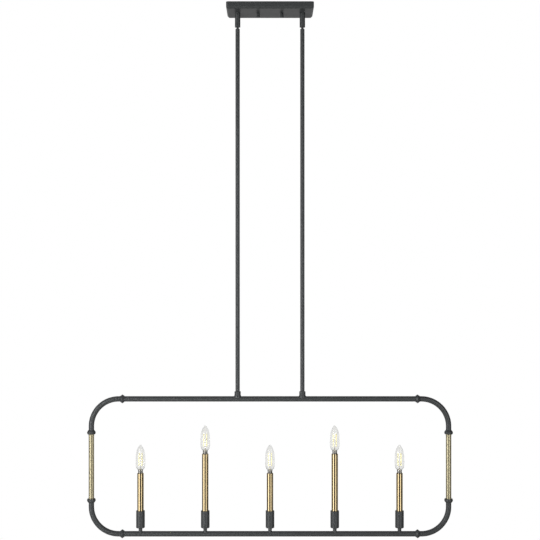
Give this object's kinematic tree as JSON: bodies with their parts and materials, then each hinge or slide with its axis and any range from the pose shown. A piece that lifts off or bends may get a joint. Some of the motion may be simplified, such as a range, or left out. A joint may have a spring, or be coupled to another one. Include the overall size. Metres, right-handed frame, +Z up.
{
  "type": "linear island pendant",
  "caption": "Linear pendant: a long canopy, two swivel-hung rods and a rectangular tube frame with candle lamps standing in a row.",
  "frame": {"origin": "middle of the ceiling plane, at the centre between the two slots of the mounting strap", "axes": "+Z up, out of the ceiling side; +X along the frame, to the right in the picture; +Y away from the viewer"},
  "size_m": [1.0764, 0.1206, 1.5637],
  "materials": {
    "black_enamel": "satin black baked enamel on steel",
    "satin_brass": "satin brushed brass with clear lacquer",
    "polished_brass": "polished brass with clear lacquer",
    "zinc_plate": "zinc-plated steel",
    "phenolic": "moulded phenolic",
    "nickel_plate": "nickel-plated brass",
    "clear_glass": "clear blown glass"
  },
  "bodies": {
    "canopy": {"canopy_pan": "black_enamel", "mounting_strap": "zinc_plate", "swivel_housings": "black_enamel", "housing_locknuts": "zinc_plate"},
    "knob_left": {"canopy_knob_left": "black_enamel"},
    "knob_right": {"canopy_knob_right": "black_enamel"},
    "fixture": {"swivel_balls": "black_enamel", "stem_left_1": "black_enamel", "stem_left_2": "black_enamel", "stem_left_3": "black_enamel", "stem_left_4": "black_enamel", "stem_right_1": "black_enamel", "stem_right_2": "black_enamel", "stem_right_3": "black_enamel", "stem_right_4": "black_enamel", "stem_bosses": "black_enamel", "top_rail": "black_enamel", "bottom_rail": "black_enamel", "bar_collars": "black_enamel", "side_collars": "black_enamel", "candle_necks": "black_enamel", "candle_cups": "black_enamel", "side_tube_left": "satin_brass", "side_tube_right": "satin_brass", "candle_sleeves": "polished_brass", "lamp_sockets": "phenolic", "socket_posts": "zinc_plate", "bulb_caps": "nickel_plate", "bulb_glasses": "clear_glass"}
  },
  "joints": [
    {"name": "swing", "type": "hinge", "parent": "canopy", "child": "fixture", "pos_m": [0, 0, -0.05699], "axis": [1, 0, 0], "range_deg": [-20, 20]},
    {"name": "knob_left_turn", "type": "hinge", "parent": "canopy", "child": "knob_left", "pos_m": [-0.03492, 0, 0], "axis": [0, 0, 1], "range_deg": [0, 900]},
    {"name": "knob_right_turn", "type": "hinge", "parent": "canopy", "child": "knob_right", "pos_m": [0.03492, 0, 0], "axis": [0, 0, 1], "range_deg": [0, 900]}
  ]
}
